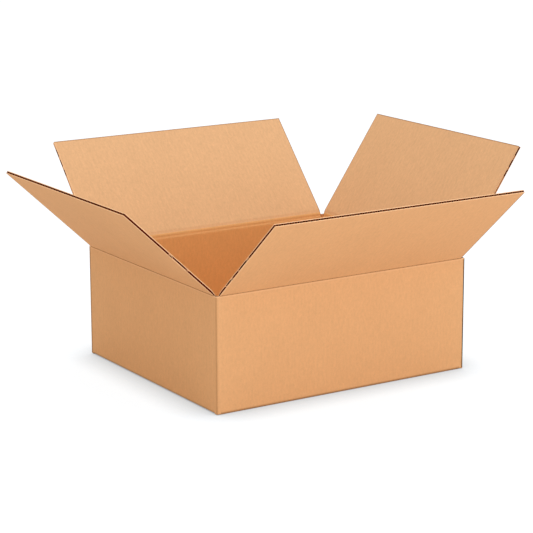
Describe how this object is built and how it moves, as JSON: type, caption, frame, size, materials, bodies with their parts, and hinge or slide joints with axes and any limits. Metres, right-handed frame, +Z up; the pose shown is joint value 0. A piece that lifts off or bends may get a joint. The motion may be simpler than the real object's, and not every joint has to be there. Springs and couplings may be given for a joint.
{
  "type": "corrugated cardboard box",
  "caption": "Open corrugated shipping box, folded from one sheet, with a closed bottom and hinged top flaps.",
  "frame": {"origin": "middle of the carton's underside, on the surface it stands on", "axes": "+Z up, the long front wall faces -Y, the short left wall faces -X"},
  "size_m": [0.6493, 0.6218, 0.3158],
  "materials": {
    "kraft_board": "plain brown kraft liner, matt",
    "kraft_flap": "plain brown kraft liner, matt"
  },
  "bodies": {
    "carton": {"carton": "kraft_board"},
    "front_flap": {"front_flap": "kraft_flap"},
    "back_flap": {"back_flap": "kraft_flap"},
    "left_flap": {"left_flap": "kraft_flap"},
    "right_flap": {"right_flap": "kraft_flap"}
  },
  "joints": [
    {"name": "front_flap_fold", "type": "hinge", "parent": "carton", "child": "front_flap", "pos_m": [0, -0.18216, 0.1655], "axis": [1, 0, 0], "range_deg": [-139, 101]},
    {"name": "back_flap_fold", "type": "hinge", "parent": "carton", "child": "back_flap", "pos_m": [0, 0.18211, 0.1655], "axis": [-1, 0, 0], "range_deg": [-132.3, 107.7]},
    {"name": "left_flap_fold", "type": "hinge", "parent": "carton", "child": "left_flap", "pos_m": [-0.20614, 0, 0.16227], "axis": [0, -1, 0], "range_deg": [-137, 103]},
    {"name": "right_flap_fold", "type": "hinge", "parent": "carton", "child": "right_flap", "pos_m": [0.20644, 0, 0.16227], "axis": [0, 1, 0], "range_deg": [-124.6, 115.4]}
  ]
}
